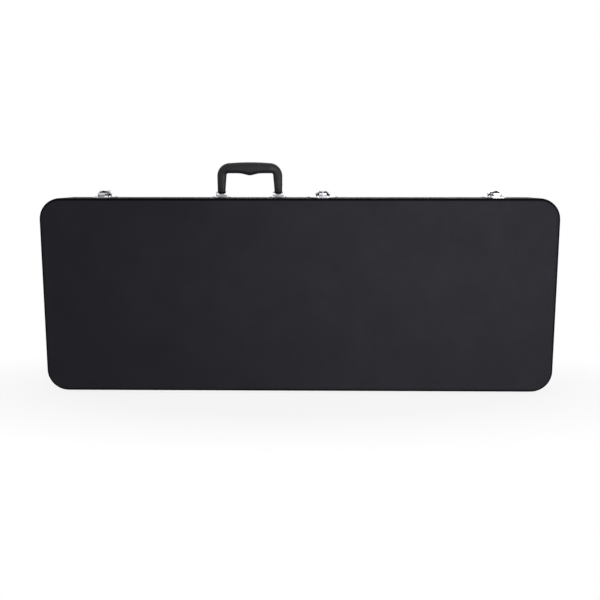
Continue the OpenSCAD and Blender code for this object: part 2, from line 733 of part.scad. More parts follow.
on_top(latch_xs[0]) latch_hasp();  // latch_left_hasp
on_top(latch_xs[1]) latch_hasp();  // latch_middle_hasp
on_top(latch_xs[2]) latch_hasp();  // latch_right_hasp
on_top(latch_xs[0]) latch_catch();  // latch_left_catch
on_top(latch_xs[1]) latch_catch();  // latch_middle_catch
on_top(latch_xs[2]) latch_catch();  // latch_right_catch
on_top(latch_xs[0]) hasp_pin();  // latch_left_hasp_pin
on_top(latch_xs[1]) hasp_pin();  // latch_middle_hasp_pin
on_top(latch_xs[2]) hasp_pin();  // latch_right_hasp_pin
latch_pivot_pins();
latch_rivets_base();
latch_rivets_lid();
lock_barrel();
lock_plug();
handle_grip();
handle_core();
handle_ring(-1);  // handle_ring_left
handle_ring(1);  // handle_ring_right
handle_saddle(-1);  // handle_saddle_left
handle_saddle(1);  // handle_saddle_right
handle_backing_plates();
handle_rivets();
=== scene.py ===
"""Looks of the guitar case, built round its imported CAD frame."""
import json
import math

import bmesh
import bpy
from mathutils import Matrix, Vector


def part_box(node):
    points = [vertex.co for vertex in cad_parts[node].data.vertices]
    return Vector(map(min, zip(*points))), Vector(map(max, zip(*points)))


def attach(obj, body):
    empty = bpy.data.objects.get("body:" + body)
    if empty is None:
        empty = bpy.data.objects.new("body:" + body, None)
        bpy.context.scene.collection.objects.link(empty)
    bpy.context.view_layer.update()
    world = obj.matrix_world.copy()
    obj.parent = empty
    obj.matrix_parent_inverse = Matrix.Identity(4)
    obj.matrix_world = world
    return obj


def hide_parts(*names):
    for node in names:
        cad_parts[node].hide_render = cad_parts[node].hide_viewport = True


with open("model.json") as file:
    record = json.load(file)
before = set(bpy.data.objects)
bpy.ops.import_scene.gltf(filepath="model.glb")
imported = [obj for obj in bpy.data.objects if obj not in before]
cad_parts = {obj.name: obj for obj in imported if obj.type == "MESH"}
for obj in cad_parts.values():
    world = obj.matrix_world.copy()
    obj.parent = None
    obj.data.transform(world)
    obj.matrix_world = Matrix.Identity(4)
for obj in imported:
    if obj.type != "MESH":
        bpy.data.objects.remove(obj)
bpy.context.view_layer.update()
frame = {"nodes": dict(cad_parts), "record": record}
NODES = frame["nodes"]
MM = 0.001

# ---------- sizes, from the frame ----------
LID_LO, LID_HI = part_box("lid_covering")
BASE_LO, BASE_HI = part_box("base_covering")
HALF_L = (LID_HI[0] - LID_LO[0]) / 2
HALF_H = (LID_HI[2] - LID_LO[2]) / 2
MID_Z = (LID_HI[2] + LID_LO[2]) / 2
TOP_Z = LID_HI[2]
SPINE_Z = LID_LO[2]
SEAM_Y = (LID_HI[1] + BASE_LO[1]) / 2
FACE_Y = LID_LO[1]
BACK_Y = BASE_HI[1]
CORNER_R = 43.5 * MM
EDGE_R = 8 * MM


# ---------- materials ----------
class Shader:
    """A node material, built one node at a time."""

    def __init__(self, name, color, rough, metallic=0.0, **sockets):
        self.mat = bpy.data.materials.new(name)
        self.mat.use_nodes = True
        self.nodes = self.mat.node_tree.nodes
        self.links = self.mat.node_tree.links
        self.bsdf = self.nodes["Principled BSDF"]
        self.set("Base Color", (*color, 1))
        self.set("Roughness", rough)
        self.set("Metallic", metallic)
        for key, value in sockets.items():
            self.set(key.replace("_", " "), value)
        self.coord = self.nodes.new("ShaderNodeTexCoord").outputs["Object"]

    def set(self, socket, value):
        self.bsdf.inputs[socket].default_value = value

    def link(self, a, b):
        self.links.new(a, b)

    def mapped(self, scale):
        node = self.nodes.new("ShaderNodeMapping")
        node.inputs["Scale"].default_value = scale
        self.link(self.coord, node.inputs["Vector"])
        return node.outputs["Vector"]

    def noise(self, scale, detail=3.0, rough=0.5, vector=None):
        node = self.nodes.new("ShaderNodeTexNoise")
        node.inputs["Scale"].default_value = scale
        node.inputs["Detail"].default_value = detail
        node.inputs["Roughness"].default_value = rough
        self.link(vector or self.coord, node.inputs["Vector"])
        return node.outputs["Fac"]

    def voronoi(self, scale, feature="F1", vector=None, randomness=1.0):
        node = self.nodes.new("ShaderNodeTexVoronoi")
        node.feature = feature
        node.inputs["Scale"].default_value = scale
        node.inputs["Randomness"].default_value = randomness
        self.link(vector or self.coord, node.inputs["Vector"])
        return node.outputs["Distance"]

    def ramp(self, value, stops):
        node = self.nodes.new("ShaderNodeValToRGB")
        elements = node.color_ramp.elements
        while len(elements) < len(stops):
            elements.new(0.5)
        for element, (position, color) in zip(elements, stops):
            element.position = position
            element.color = color if len(color) == 4 else (*color, 1)
        self.link(value, node.inputs["Fac"])
        return node.outputs["Color"]

    def range(self, value, low, high, to_low=0.0, to_high=1.0):
        node = self.nodes.new("ShaderNodeMapRange")
        for key, number in (("From Min", low), ("From Max", high), ("To Min", to_low), ("To Max", to_high)):
            node.inputs[key].default_value = number
        self.link(value, node.inputs["Value"])
        return node.outputs["Result"]

    def math(self, kind, a, b):
        node = self.nodes.new("ShaderNodeMath")
        node.operation = kind
        for socket, value in zip(node.inputs, (a, b)):
            if isinstance(value, (int, float)):
                socket.default_value = value
            else:
                self.link(value, socket)
        return node.outputs["Value"]

    def bump(self, height, distance, strength=1.0):
        """Adds a bump on top of those made before it."""
        node = self.nodes.new("ShaderNodeBump")
        node.inputs["Strength"].default_value = strength
        node.inputs["Distance"].default_value = distance
        self.link(height, node.inputs["Height"])
        before = self.bsdf.inputs["Normal"]
        if before.is_linked:
            self.link(before.links[0].from_socket, node.inputs["Normal"])
        self.link(node.outputs["Normal"], before)

    def color(self, output):
        self.link(output, self.bsdf.inputs["Base Color"])

    def rough(self, output):
        self.link(output, self.bsdf.inputs["Roughness"])


def gray(value, tint=(1.0, 1.0, 1.0)):
    return tuple(value * t for t in tint)


def grained_vinyl(name, low, high, tint, specular, cell=1100.0, depth=0.00008, rough=(0.46, 0.62)):
    """Leather-like grain: small rounded cells with creases between them."""
    s = Shader(name, gray(high, tint), 0.5, Specular_IOR_Level=specular)
    warp = s.nodes.new("ShaderNodeVectorMath")
    warp.operation = "MULTIPLY_ADD"
    jitter = s.nodes.new("ShaderNodeTexNoise")
    jitter.inputs["Scale"].default_value = cell * 0.35
    s.link(s.coord, jitter.inputs["Vector"])
    s.link(jitter.outputs["Color"], warp.inputs[0])
    warp.inputs[1].default_value = (0.6 / cell,) * 3
    s.link(s.coord, warp.inputs[2])
    cells = s.voronoi(cell, "DISTANCE_TO_EDGE", warp.outputs["Vector"])
    creases = s.range(cells, 0.0, 0.16)
    cloud = s.noise(14.0, 4.0, 0.55)
    shade = s.math("MULTIPLY_ADD", creases, 0.35)
    shade.node.inputs[2].default_value = 0.5
    mixed = s.math("ADD", shade, s.range(cloud, 0.3, 0.7, -0.08, 0.08))
    s.color(s.ramp(mixed, [(0.35, gray(low, tint)), (0.95, gray(high, tint))]))
    s.rough(s.range(s.noise(60.0, 5.0, 0.6), 0.3, 0.7, *rough))
    s.bump(s.noise(5.0, 2.0, 0.4), 0.0006, 0.3)
    s.bump(creases, depth, 0.8)
    return s.mat


def plated_steel(name, color, rough=0.12, shade_in_hollows=0.16):
    """Bright plating with a faint waviness, fine rub marks and a little haze, with painted shade in its hollows."""
    s = Shader(name, color, rough, 1.0)
    haze = s.noise(180.0, 6.0, 0.65)
    s.rough(s.range(haze, 0.35, 0.75, rough * 0.7, rough * 2.2))
    marks = s.noise(90.0, 8.0, 0.7, s.mapped((1.0, 9.0, 1.0)))
    s.bump(marks, 0.00004, 0.25)
    s.bump(s.noise(45.0, 2.0, 0.5), 0.0002, 0.25)
    # Painted shade: the colour is darkened where ambient occlusion finds the metal enclosed, in hollows and between
    # parts, standing in for the shade that falls there.
    hollow = s.nodes.new("ShaderNodeAmbientOcclusion")
    hollow.samples = 8
    hollow.inputs["Distance"].default_value = 0.011
    unshaded_share = s.range(hollow.outputs["AO"], 0.25, 0.85, shade_in_hollows, 1.0)
    shade = s.math("MULTIPLY", unshaded_share, s.range(haze, 0.3, 0.8, 1.0, 0.86))
    s.color(s.ramp(shade, [(0.0, gray(0.0, color)), (1.0, gray(1.0, color))]))
    return s.mat


def moulded_plastic(name, value, tint, cell=1500.0, rough=(0.4, 0.55), specular=0.4):
    """Moulded plastic with a fine pressed grain."""
    s = Shader(name, gray(value, tint), 0.48, Specular_IOR_Level=specular)
    cells = s.range(s.voronoi(cell, "SMOOTH_F1"), 0.1, 0.8)
    s.bump(cells, 0.00009, 0.6)
    s.bump(s.noise(25.0, 3.0, 0.5), 0.0003, 0.2)
    s.rough(s.range(s.noise(40.0, 4.0, 0.6), 0.3, 0.7, *rough))
    s.color(s.ramp(s.noise(22.0, 4.0, 0.6), [(0.3, gray(value * 0.85, tint)), (0.75, gray(value * 1.15, tint))]))
    return s.mat


def plush(name, value, tint):
    """Short pile that catches light at grazing angles, brushed in soft patches."""
    s = Shader(name, gray(value, tint), 0.95, Specular_IOR_Level=0.1, Sheen_Weight=0.55, Sheen_Roughness=0.45)
    s.set("Sheen Tint", (0.8, 0.8, 0.85, 1))
    pile = s.noise(2600.0, 2.0, 0.7)
    patches = s.noise(26.0, 5.0, 0.6)
    s.color(s.ramp(s.math("ADD", s.math("MULTIPLY", pile, 0.6), s.math("MULTIPLY", patches, 0.5)),
                   [(0.35, gray(value * 0.55, tint)), (0.75, gray(value * 1.7, tint))]))
    s.bump(patches, 0.0012, 0.5)
    s.bump(pile, 0.0007, 0.8)
    return s.mat


def woven(name, value):
    """Flat woven tape."""
    s = Shader(name, gray(value), 0.85, Sheen_Weight=0.3, Sheen_Roughness=0.5)
    a = s.nodes.new("ShaderNodeTexWave")
    b = s.nodes.new("ShaderNodeTexWave")
    for node, direction in ((a, "X"), (b, "Z")):
        node.bands_direction = direction
        node.inputs["Scale"].default_value = 420.0
        s.link(s.coord, node.inputs["Vector"])
    weave = s.math("MAXIMUM", a.outputs["Fac"], b.outputs["Fac"])
    s.color(s.ramp(weave, [(0.0, gray(value * 0.4)), (1.0, gray(value * 1.5))]))
    s.bump(weave, 0.0004, 0.7)
    return s.mat


def plywood(name):
    s = Shader(name, (0.55, 0.4, 0.25), 0.7)
    grain = s.noise(30.0, 6.0, 0.6, s.mapped((0.4, 6.0, 6.0)))
    s.color(s.ramp(grain, [(0.3, (0.42, 0.28, 0.16)), (0.7, (0.66, 0.5, 0.33))]))
    s.bump(grain, 0.0003, 0.4)
    return s.mat


def rubber(name, value):
    s = Shader(name, gray(value), 0.8, Specular_IOR_Level=0.3)
    spots = s.noise(300.0, 5.0, 0.7)
    s.color(s.ramp(spots, [(0.3, gray(value * 0.7)), (0.8, gray(value * 1.5))]))
    s.bump(spots, 0.0002, 0.4)
    return s.mat


VINYL = grained_vinyl("vinyl", 0.0135, 0.0272, (0.97, 0.96, 1.2), 0.06)
# Painted shade: a much darker, nearly unreflective copy of the vinyl for the rounded edges, standing in for the shade
# they turn into.
VINYL_PAINTED_SHADE = grained_vinyl("vinyl_edge_painted_shade", 0.0028, 0.0065, (0.97, 0.96, 1.2), 0.01)
CHROME = plated_steel("chrome", (0.58, 0.58, 0.61))
RIVET = plated_steel("rivet", (0.54, 0.54, 0.56), 0.18)
STEEL = plated_steel("steel", (0.5, 0.5, 0.52), 0.35)
BRASS = plated_steel("lock_brass", (0.78, 0.62, 0.34), 0.2)
HANDLE = moulded_plastic("handle_plastic", 0.0155, (0.97, 0.97, 1.18), specular=0.22)
# A much darker, duller plastic for the rounded end bands at the bottom of each handle foot.
HANDLE_END = moulded_plastic("handle_end", 0.003, (1.0, 1.0, 1.1), specular=0.1)
LIP = moulded_plastic("lip_plastic", 0.03, (1.0, 1.0, 1.0), 900.0)
PLUSH = plush("plush", 0.02, (1.0, 1.0, 1.1))
WEBBING = woven("webbing", 0.035)
THREAD = woven("thread", 0.11)
PLYWOOD = plywood("plywood")
RUBBER = rubber("foot_rubber", 0.018)

SLOT_MATERIALS = {
    "vinyl": VINYL, "chrome": CHROME, "steel": STEEL, "lock_brass": BRASS, "handle_plastic": HANDLE,
    "lip_plastic": LIP, "plush": PLUSH, "webbing": WEBBING, "plywood": PLYWOOD, "foot_rubber": RUBBER}
SLOTS = {part["node"]: part["material_slot"] for part in frame["record"]["subparts"]}


def dress_node(node, bevel=0.0):
    """Gives a CAD node its material, and takes the sharpness off its edges."""
    obj = NODES[node]
    material = RIVET if "rivets" in node or "pin" in node else SLOT_MATERIALS[SLOTS[node]]
    for slot in obj.material_slots:
        slot.material = material
    if bevel:
        weld = obj.modifiers.new("weld", "WELD")
        weld.merge_threshold = 0.00001
        cut = obj.modifiers.new("bevel", "BEVEL")
        cut.width = bevel
        cut.segments = 2
        cut.limit_method = "ANGLE"
        cut.angle_limit = math.radians(40)
        cut.harden_normals = True


for node in NODES:
    metal = SLOTS[node] in ("chrome", "steel", "lock_brass")
    dress_node(node, 0.0003 if metal and "rivets" not in node else 0.0)


# ---------- mesh helpers ----------
def lerp(a, b, t):
    return a + (b - a) * t


def new_object(name, bm, material, smooth=True):
    mesh = bpy.data.meshes.new(name)
    bmesh.ops.recalc_face_normals(bm, faces=bm.faces)
    bm.to_mesh(mesh)
    bm.free()
    mesh.materials.append(material)
    for polygon in mesh.polygons:
        polygon.use_smooth = smooth
    obj = bpy.data.objects.new(name, mesh)
    bpy.context.scene.collection.objects.link(obj)
    return obj


def outline(inset, long_steps=44, short_steps=16, corner_steps=12):
    """Points (x, z) round the case's outline, moved in by inset, with as many points at every inset."""
    r = CORNER_R - inset
    cx, cz = HALF_L - CORNER_R, HALF_H - CORNER_R
    points = []
    for quarter, (sx, sz) in enumerate(((1, 1), (-1, 1), (-1, -1), (1, -1))):
        start = quarter * 90
        for k in range(corner_steps + 1):
            a = math.radians(start + 90 * k / corner_steps)
            points.append((sx * cx + r * math.cos(a), MID_Z + sz * cz + r * math.sin(a)))
        steps = long_steps if quarter in (0, 2) else short_steps
        end = points[-1]
        nx, nz = ((-1, 1), (-1, -1), (1, -1), (1, 1))[quarter]
        a = math.radians(start + 90)
        target = (nx * cx + r * math.cos(a), MID_Z + nz * cz + r * math.sin(a))
        for k in range(1, steps):
            t = k / steps
            points.append((end[0] + (target[0] - end[0]) * t, end[1] + (target[1] - end[1]) * t))
    return points


def swept_skin(name, profile, material, cap=True, dark=None, dark_bands=()):
    """A skin swept round the outline: profile is a list of (inset, y). The last ring is filled in, or joined
    to the first one. The bands between the rings named in dark_bands get the darker material."""
    bm = bmesh.new()
    rings = []
    for inset, y in profile:
        rings.append([bm.verts.new((x, y, z)) for x, z in outline(inset)])
    n = len(rings[0])
    bands = list(zip(rings, rings[1:])) + ([] if cap else [(rings[-1], rings[0])])
    for band, (a, b) in enumerate(bands):
        for i in range(n):
            face = bm.faces.new((a[i], a[(i + 1) % n], b[(i + 1) % n], b[i]))
            face.material_index = 1 if band in dark_bands else 0
    if cap:
        bm.faces.new(rings[-1])
    skin = new_object(name, bm, material)
    if dark:
        skin.data.materials.append(dark)
    return skin


def covering(name, depth, sign, material):
    """The vinyl over one half: turned in at the rim, up the wall, round the edge and over the panel; the rounded edge
    gets a much darker vinyl as painted shade.
    """
    def y(d):
        return SEAM_Y + sign * d
    rim = 0.2 * MM
    profile = [(5.8 * MM, y(rim + 0.8 * MM)), (5.8 * MM, y(rim)), (0.9 * MM, y(rim))]
    for k in range(1, 5):
        a = math.radians(90 * k / 4)
        profile.append((0.9 * MM * (1 - math.sin(a)), y(rim + 0.9 * MM * (1 - math.cos(a)))))
    wall_end = depth - EDGE_R
    for k in range(1, 4):
        profile.append((0.0, y(rim + 0.9 * MM + (wall_end - rim - 0.9 * MM) * k / 4)))
    first = len(profile)
    for k in range(0, 13):
        a = math.radians(90 * k / 12)
        profile.append((EDGE_R * (1 - math.cos(a)), y(wall_end + EDGE_R * math.sin(a))))
    for extra, rise in ((1.0, 0.35), (2.2, 0.55), (3.6, 0.4), (5.6, 0.1), (12.0, 0.0), (22.0, 0.0)):
        profile.append((EDGE_R + extra * MM, y(depth + rise * MM)))
    # The bands round the edge arc get the darker vinyl: painted shade.
    return swept_skin(name, profile, material, dark=VINYL_PAINTED_SHADE, dark_bands=range(first, first + 9))


# ---------- coverings ----------
lid_skin = covering("lid_skin", SEAM_Y - FACE_Y, -1, VINYL)
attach(lid_skin, "lid")
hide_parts("lid_covering")
base_skin = covering("base_skin", BACK_Y - SEAM_Y, 1, VINYL)
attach(base_skin, "base")
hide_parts("base_covering")


# ---------- padding ----------
INNER = 6.0 * MM  # from the covering to the plywood's inner face, with the glue
FRONT = -1  # the pads in the base face this way along Y


def freeze(obj):
    """Applies the object's modifiers."""
    graph = bpy.context.evaluated_depsgraph_get()
    mesh = bpy.data.meshes.new_from_object(obj.evaluated_get(graph))
    obj.modifiers.clear()
    old = obj.data
    obj.data = mesh
    bpy.data.meshes.remove(old)


def prism(name, points, shift, material):
    """A closed solid between a loop of points and the same loop moved by shift."""
    bm = bmesh.new()
    near = [bm.verts.new(p) for p in points]
    far = [bm.verts.new(Vector(p) + Vector(shift)) for p in points]
    bm.faces.new(near)
    bm.faces.new(list(reversed(far)))
    for i in range(len(near)):
        j = (i + 1) % len(near)
        bm.faces.new((near[i], near[j], far[j], far[i]))
    return new_object(name, bm, material)


def foam(obj, voxel, rounding, shrink, rise, side, lo, hi, pressure=4.0):
    """Turns a plain solid into covered foam: remeshed, its edges rounded, drawn in a little, and then blown up
    as cloth. A point may rise along Y, towards side, by rise and move sideways by less than it was drawn in."""
    remesh = obj.modifiers.new("remesh", "REMESH")
    remesh.mode = "VOXEL"
    remesh.voxel_size = voxel
    smooth = obj.modifiers.new("smooth", "SMOOTH")
    smooth.factor = 0.5
    smooth.iterations = rounding
    draw_in = obj.modifiers.new("draw_in", "DISPLACE")
    draw_in.strength = -shrink
    draw_in.mid_level = 0.0
    freeze(obj)
    start = [v.co.copy() for v in obj.data.vertices]
    cloth = obj.modifiers.new("cloth", "CLOTH")
    cloth.settings.use_pressure = True
    cloth.settings.uniform_pressure_force = pressure
    cloth.settings.effector_weights.gravity = 0.0
    cloth.settings.quality = 4
    cloth.collision_settings.use_collision = False
    cloth.point_cache.frame_start = 1
    cloth.point_cache.frame_end = 20
    for number in range(1, 21):
        bpy.context.scene.frame_set(number)
    freeze(obj)
    bpy.context.scene.frame_set(1)
    margin = 0.3 * MM
    for vertex, before in zip(obj.data.vertices, start):
        move = vertex.co - before
        across = Vector((move.x, 0, move.z))
        if across.length > shrink * 0.8:
            across *= shrink * 0.8 / across.length
        along = max(-shrink * 0.8, min(rise, move.y * side)) * side
        co = before + across + Vector((0, along, 0))
        co.x = max(lo[0] + margin, min(hi[0] - margin, co.x))
        co.z = max(lo[2] + margin, min(hi[2] - margin, co.z))
        if side < 0:
            co.y = min(hi[1] - margin, co.y)
        else:
            co.y = max(lo[1] + margin, co.y)
        vertex.co = co
    for polygon in obj.data.polygons:
        polygon.use_smooth = True
    return obj


def settle(obj, node, body):
    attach(obj, body)
    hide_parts(node)


def bay_half(t):
    """Half width of the space for the guitar's body, from its butt (0) to its neck (1)."""
    end = (1 - abs(2 * t - 1) ** 3.4) ** (1 / 2.3)
    waist = 1 - 0.17 * math.exp(-((t - 0.6) / 0.15) ** 2) - 0.08 * t
    return 163 * MM * end * waist / 0.985


def cradle(name, node, sign):
    """The foam block above or below the space for the guitar's body."""
    lo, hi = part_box(node)
    inner_edge = lo[2] if sign > 0 else hi[2]
    outer_edge = hi[2] if sign > 0 else lo[2]
    bay_x, bay_l, neck = lo[0] + 18 * MM, 400 * MM, 32 * MM
    corner = CORNER_R - 11 * MM
    loop = [(lo[0], inner_edge)]
    for k in range(9):
        a = math.radians(90 * k / 8)
        loop.append((lo[0] + corner - corner * math.cos(a), outer_edge - sign * (corner - corner * math.sin(a))))
    loop += [(hi[0], outer_edge), (hi[0], MID_Z + sign * neck)]
    for k in range(60, -1, -1):
        t = k / 60
        height = bay_half(t)
        if height < neck and t > 0.5:
            height = neck
        loop.append((bay_x + t * bay_l, MID_Z + sign * max(height, abs(inner_edge - MID_Z))))
    points = [(x, lo[1], z) for x, z in loop]
    block = prism(name, points, (0, hi[1] - lo[1], 0), PLUSH)
    return foam(block, 5 * MM, 7, 1.4 * MM, 4 * MM, FRONT, lo, hi)


for half_name, half_sign in (("upper", 1), ("lower", -1)):
    settle(cradle("padding_" + half_name, "cradle_" + half_name, half_sign), "cradle_" + half_name, "base")


def neck_rest():
    lo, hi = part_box("neck_support")
    half, deep = 32 * MM, 20 * MM
    loop = [(lo[2], lo[1]), (lo[2], hi[1]), (hi[2], hi[1]), (hi[2], lo[1]),
            (MID_Z + half, lo[1]), (MID_Z + half, lo[1] + deep), (MID_Z - half, lo[1] + deep), (MID_Z - half, lo[1])]
    points = [(lo[0], y, z) for z, y in loop]
    block = prism("padding_neck", points, (hi[0] - lo[0], 0, 0), PLUSH)
    return foam(block, 4 * MM, 7, 1.4 * MM, 4 * MM, FRONT, lo, hi)


settle(neck_rest(), "neck_support", "base")


def lid_cushion():
    lo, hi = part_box("lid_pad")
    points = [(x, lo[1], z) for x, z in outline(INNER)]
    pad = prism("padding_lid", points, (0, hi[1] - lo[1], 0), PLUSH)
    return foam(pad, 6 * MM, 4, 1.2 * MM, 7 * MM, 1, lo, hi, 5.0)


settle(lid_cushion(), "lid_pad", "lid")


def slab(name, node, inset, side):
    """A flat pad glued to a panel, with its front edge rounded."""
    lo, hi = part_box(node)
    back, front = (lo[1], hi[1]) if side > 0 else (hi[1], lo[1])
    r = 3 * MM
    profile = [(inset, back), (inset, front - side * r)]
    for k in range(1, 6):
        a = math.radians(90 * k / 5)
        profile.append((inset + r * (1 - math.cos(a)), front - side * r * (1 - math.sin(a))))
    profile.append((inset + 3 * r, front))
    return swept_skin(name, profile, PLUSH)


settle(slab("pad_floor", "base_floor_pad", INNER, FRONT), "base_floor_pad", "base")


def lining(name, node, thick):
    """A band of covered foam round the inside of a wall, with rounded edges."""
    lo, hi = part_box(node)
    r = thick * 0.45
    profile = []
    for cx, cy, start in ((INNER + thick - r, lo[1] + r, 270), (INNER + r, lo[1] + r, 180),
                          (INNER + r, hi[1] - r, 90), (INNER + thick - r, hi[1] - r, 0)):
        for k in range(5):
            a = math.radians(start - 22.5 * k + 90)
            profile.append((cx + r * math.cos(a), cy - r * math.sin(a)))
    return swept_skin(name, profile, PLUSH, cap=False)


settle(lining("lining_base", "base_wall_lining", 5 * MM), "base_wall_lining", "base")
settle(lining("lining_lid", "lid_wall_lining", 2.5 * MM), "lid_wall_lining", "lid")


# ---------- pocket ----------
def round_rect(x0, x1, z0, z1, r, steps=5):
    points = []
    for cx, cz, start in ((x1 - r, z1 - r, 0), (x0 + r, z1 - r, 90), (x0 + r, z0 + r, 180), (x1 - r, z0 + r, 270)):
        for k in range(steps + 1):
            a = math.radians(start + 90 * k / steps)
            points.append((cx + r * math.cos(a), cz + r * math.sin(a)))
    return points


def pocket_walls():
    lo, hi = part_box("pocket_box")
    wall = 4 * MM
    profile = [(0.2 * MM, hi[1] - 0.2 * MM), (0.2 * MM, lo[1] + 2.2 * MM)]
    for k in range(9):
        a = math.radians(180 - 180 * k / 8)
        profile.append((wall / 2 + (wall / 2 - 0.2 * MM) * math.cos(a), lo[1] + 2.2 * MM - 1.9 * MM * math.sin(a)))
    profile += [(wall - 0.2 * MM, lo[1] + 2.2 * MM), (wall - 0.2 * MM, hi[1] - 0.2 * MM)]
    bm = bmesh.new()
    rings = []
    for inset, y in profile:
        r = 5 * MM - inset * 0.6
        rings.append([bm.verts.new((x, y, z)) for x, z in
                      round_rect(lo[0] + inset, hi[0] - inset, lo[2] + inset, hi[2] - inset, r)])
    n = len(rings[0])
    for a, b in zip(rings, rings[1:] + rings[:1]):
        for i in range(n):
            bm.faces.new((a[i], a[(i + 1) % n], b[(i + 1) % n], b[i]))
    return new_object("pocket_walls", bm, PLUSH)


settle(pocket_walls(), "pocket_box", "base")


def stitches(name, spots, material, length=2.6 * MM, radius=0.32 * MM):
    """Short threads: each spot is its middle, its direction and the way out of the cloth."""
    bm = bmesh.new()
    around, along = 6, 5
    for middle, direction, out in spots:
        direction = Vector(direction).normalized()
        out = Vector(out).normalized()
        side = direction.cross(out)
        rings = []
        for j in range(along + 1):
            t = j / along * 2 - 1
            swell = math.sqrt(max(0.0, 1 - t * t)) * 0.85 + 0.15
            centre = Vector(middle) + direction * (t * length / 2) + out * (radius * 0.5 * (1 - t * t))
            rings.append([bm.verts.new(centre + (side * math.cos(a) + out * math.sin(a)) * radius * swell)
                          for a in (2 * math.pi * k / around for k in range(around))])
        for a, b in zip(rings, rings[1:]):
            for k in range(around):
                bm.faces.new((a[k], a[(k + 1) % around], b[(k + 1) % around], b[k]))
        bm.faces.new(rings[0])
        bm.faces.new(rings[-1])
    return new_object(name, bm, material)


def along_loop(points, pitch):
    """Places and directions every pitch along a closed loop of (x, z) points."""
    result = []
    left = pitch / 2
    for (x0, z0), (x1, z1) in zip(points, points[1:] + points[:1]):
        length = math.hypot(x1 - x0, z1 - z0)
        if length < 1e-7:
            continue
        at = left
        while at < length:
            t = at / length
            result.append(((x0 + (x1 - x0) * t, z0 + (z1 - z0) * t), ((x1 - x0) / length, (z1 - z0) / length)))
            at += pitch
        left = at - length
    return result


def pocket_cover():
    """The pocket's lid: a thin crowned pad with a sewn channel near its edge."""
    lo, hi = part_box("pocket_lid")
    cx, cz = (lo[0] + hi[0]) / 2, (lo[2] + hi[2]) / 2
    wx, wz = (hi[0] - lo[0]) / 2, (hi[2] - lo[2]) / 2
    mid_y, half_t = (lo[1] + hi[1]) / 2, (hi[1] - lo[1]) / 2
    nx, nz = 96, 74
    bm = bmesh.new()
    channel = 7 * MM

    def height(u, v):
        """Half thickness at a place on the pad."""
        dx, dz = (1 - abs(u)) * wx, (1 - abs(v)) * wz
        edge = min(dx, dz)
        r = half_t
        rim = math.sqrt(max(0.0, 1 - (1 - min(edge, r) / r) ** 2))
        groove = 0.75 * MM * math.exp(-((edge - channel) / (1.1 * MM)) ** 2)
        return max(0.0002, (half_t - 0.15 * MM) * rim - groove)

    sheets = []
    for side in (-1, 1):
        rows = []
        for j in range(nz + 1):
            v = math.sin(math.pi / 2 * (2 * j / nz - 1)) * 0.35 + (2 * j / nz - 1) * 0.65
            row = []
            for i in range(nx + 1):
                u = math.sin(math.pi / 2 * (2 * i / nx - 1)) * 0.35 + (2 * i / nx - 1) * 0.65
                crown = 1.6 * MM * (1 - u * u) * (1 - v * v) if side < 0 else 0.0
                y = mid_y + side * (height(u, v) + crown)
                row.append(bm.verts.new((cx + u * (wx - 0.1 * MM), y, cz + v * (wz - 0.1 * MM))))
            rows.append(row)
        for j in range(nz):
            for i in range(nx):
                bm.faces.new((rows[j][i], rows[j][i + 1], rows[j + 1][i + 1], rows[j + 1][i]))
        sheets.append(rows)
    front, back = sheets
    rim_front = front[0] + [r[-1] for r in front[1:]] + front[-1][-2::-1] + [r[0] for r in front[-2:0:-1]]
    rim_back = back[0] + [r[-1] for r in back[1:]] + back[-1][-2::-1] + [r[0] for r in back[-2:0:-1]]
    n = len(rim_front)
    for i in range(n):
        bm.faces.new((rim_front[i], rim_front[(i + 1) % n], rim_back[(i + 1) % n], rim_back[i]))
    pad = new_object("pocket_cover", bm, PLUSH)
    loop = round_rect(lo[0] + channel, hi[0] - channel, lo[2] + channel, hi[2] - channel, 3 * MM)
    thread_y = mid_y - half_t + 0.75 * MM
    spots = [((x, thread_y, z), (dx, 0, dz), (0, -1, 0)) for (x, z), (dx, dz) in along_loop(loop, 4.2 * MM)]
    threads = stitches("pocket_cover_stitching", spots, THREAD)
    threads.parent = pad
    return pad


settle(pocket_cover(), "pocket_lid", "pocket_flap")


